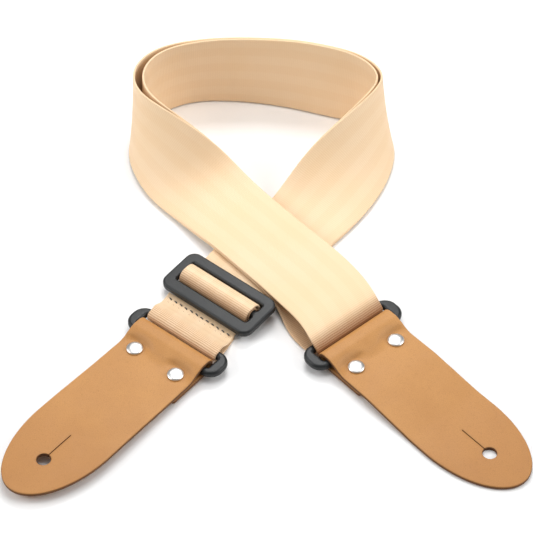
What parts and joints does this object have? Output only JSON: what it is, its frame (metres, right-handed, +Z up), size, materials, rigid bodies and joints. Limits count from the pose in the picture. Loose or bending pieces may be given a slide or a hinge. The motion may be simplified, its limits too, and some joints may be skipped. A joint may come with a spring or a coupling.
{
  "type": "guitar strap",
  "caption": "Guitar strap of seat-belt webbing with leather ends, plastic rings and a slider, laid out in a crossed loop.",
  "frame": {"origin": "on the surface the strap lies on, under the middle of its bounding box", "axes": "+Z up; the leather ends point towards -Y and the standing back of the loop is towards +Y"},
  "size_m": [0.281, 0.3161, 0.0511],
  "materials": {
    "webbing": "satin seat-belt weave",
    "leather": "smooth tan, matt",
    "plastic": "satin moulded",
    "rivet": "polished nickel",
    "thread": "twisted thread"
  },
  "bodies": {
    "strap": {"sewn_end_webbing": "webbing", "sewn_end_stitching": "thread", "slider_loop_tail": "webbing", "slider_loop_stitching": "thread", "strap_leg_one": "webbing", "strap_right_turn": "webbing", "strap_back_band": "webbing", "strap_left_turn": "webbing", "strap_leg_two": "webbing", "strap_ring_wrap": "webbing", "return_leg_one": "webbing", "return_right_turn": "webbing", "return_back_band": "webbing", "return_left_turn": "webbing", "return_leg_two": "webbing"},
    "slider": {"slider_frame": "plastic", "slider_roll_webbing": "webbing", "slider_loop_webbing": "webbing"},
    "left_ring": {"left_ring": "plastic"},
    "left_end": {"left_leather_end": "leather", "left_rivet_caps": "rivet", "left_rivet_bases": "rivet"},
    "right_ring": {"right_ring": "plastic"},
    "right_end": {"right_leather_end": "leather", "right_rivet_caps": "rivet", "right_rivet_bases": "rivet"}
  },
  "joints": [
    {"name": "slider_travel", "type": "slide", "parent": "strap", "child": "slider", "axis": [0.6428, 0.766, 0], "range_m": [-0.003, 0]},
    {"name": "left_ring_swing", "type": "hinge", "parent": "strap", "child": "left_ring", "pos_m": [-0.04605, -0.04677, 0.0057], "axis": [-0.7738, 0.6334, 0], "range_deg": [-60, 60]},
    {"name": "left_end_swing", "type": "hinge", "parent": "left_ring", "child": "left_end", "pos_m": [-0.0546, -0.05721, 0.0057], "axis": [-0.7738, 0.6334, 0], "range_deg": [-45, 45]},
    {"name": "right_ring_swing", "type": "hinge", "parent": "strap", "child": "right_ring", "pos_m": [0.0435, -0.04143, 0.0057], "axis": [-0.7559, -0.6547, 0], "range_deg": [-60, 60]},
    {"name": "right_end_swing", "type": "hinge", "parent": "right_ring", "child": "right_end", "pos_m": [0.05234, -0.05163, 0.0057], "axis": [-0.7559, -0.6547, 0], "range_deg": [-45, 45]}
  ]
}
